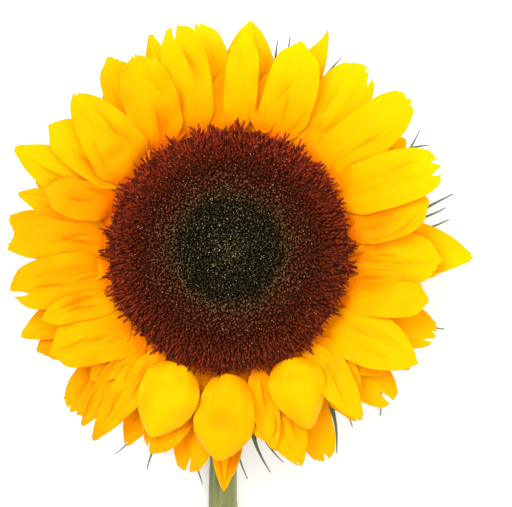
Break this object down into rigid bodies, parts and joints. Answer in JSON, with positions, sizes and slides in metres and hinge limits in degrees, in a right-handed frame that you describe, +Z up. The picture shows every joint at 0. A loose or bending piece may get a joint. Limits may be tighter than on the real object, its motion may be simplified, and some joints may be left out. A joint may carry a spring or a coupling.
{
  "type": "cut sunflower",
  "caption": "Cut sunflower lying on its back: a broad dark disc ringed with golden ray petals on a bare green stem with a nodding neck.",
  "frame": {"origin": "middle of the flower's box at the surface it lies on", "axes": "+Y from the cut end of the stem towards the head, +Z up out of the flower's face, +X to the right of someone who looks down on the face with the stem towards them"},
  "size_m": [0.149, 0.3282, 0.0499],
  "materials": {
    "ray_petal": "satin golden yellow, thin and slightly translucent, finely grooved along its length",
    "outer_floret": "matte dark maroon with red-brown tips",
    "middle_floret": "matte brown with pale gold specks",
    "centre_bud": "matte black-green with pale specks",
    "green_bract": "matte grey-green, finely haired",
    "green_cup": "matte green, finely haired",
    "green_stem": "matte pale green, ribbed and haired, with pale pith at the cut"
  },
  "bodies": {
    "root": {"stem": "green_stem", "receptacle": "green_cup", "disc_outer_florets": "outer_floret", "disc_middle_florets": "middle_floret", "disc_centre_buds": "centre_bud", "petal_01": "ray_petal", "petal_02": "ray_petal", "petal_03": "ray_petal", "petal_04": "ray_petal", "petal_05": "ray_petal", "petal_06": "ray_petal", "petal_07": "ray_petal", "petal_08": "ray_petal", "petal_09": "ray_petal", "petal_10": "ray_petal", "petal_11": "ray_petal", "petal_12": "ray_petal", "petal_13": "ray_petal", "petal_14": "ray_petal", "petal_15": "ray_petal", "petal_16": "ray_petal", "petal_17": "ray_petal", "petal_18": "ray_petal", "petal_19": "ray_petal", "petal_20": "ray_petal", "petal_21": "ray_petal", "petal_22": "ray_petal", "petal_23": "ray_petal", "petal_24": "ray_petal", "petal_25": "ray_petal", "petal_26": "ray_petal", "petal_27": "ray_petal", "petal_28": "ray_petal", "petal_29": "ray_petal", "petal_30": "ray_petal", "petal_31": "ray_petal", "petal_32": "ray_petal", "petal_33": "ray_petal", "petal_34": "ray_petal", "petal_35": "ray_petal", "petal_36": "ray_petal", "petal_37": "ray_petal", "petal_38": "ray_petal", "petal_39": "ray_petal", "petal_40": "ray_petal", "petal_41": "ray_petal", "petal_42": "ray_petal", "petal_43": "ray_petal", "petal_44": "ray_petal", "petal_45": "ray_petal", "bract_01": "green_bract", "bract_02": "green_bract", "bract_03": "green_bract", "bract_04": "green_bract", "bract_05": "green_bract", "bract_06": "green_bract", "bract_07": "green_bract", "bract_08": "green_bract", "bract_09": "green_bract", "bract_10": "green_bract"}
  },
  "joints": []
}
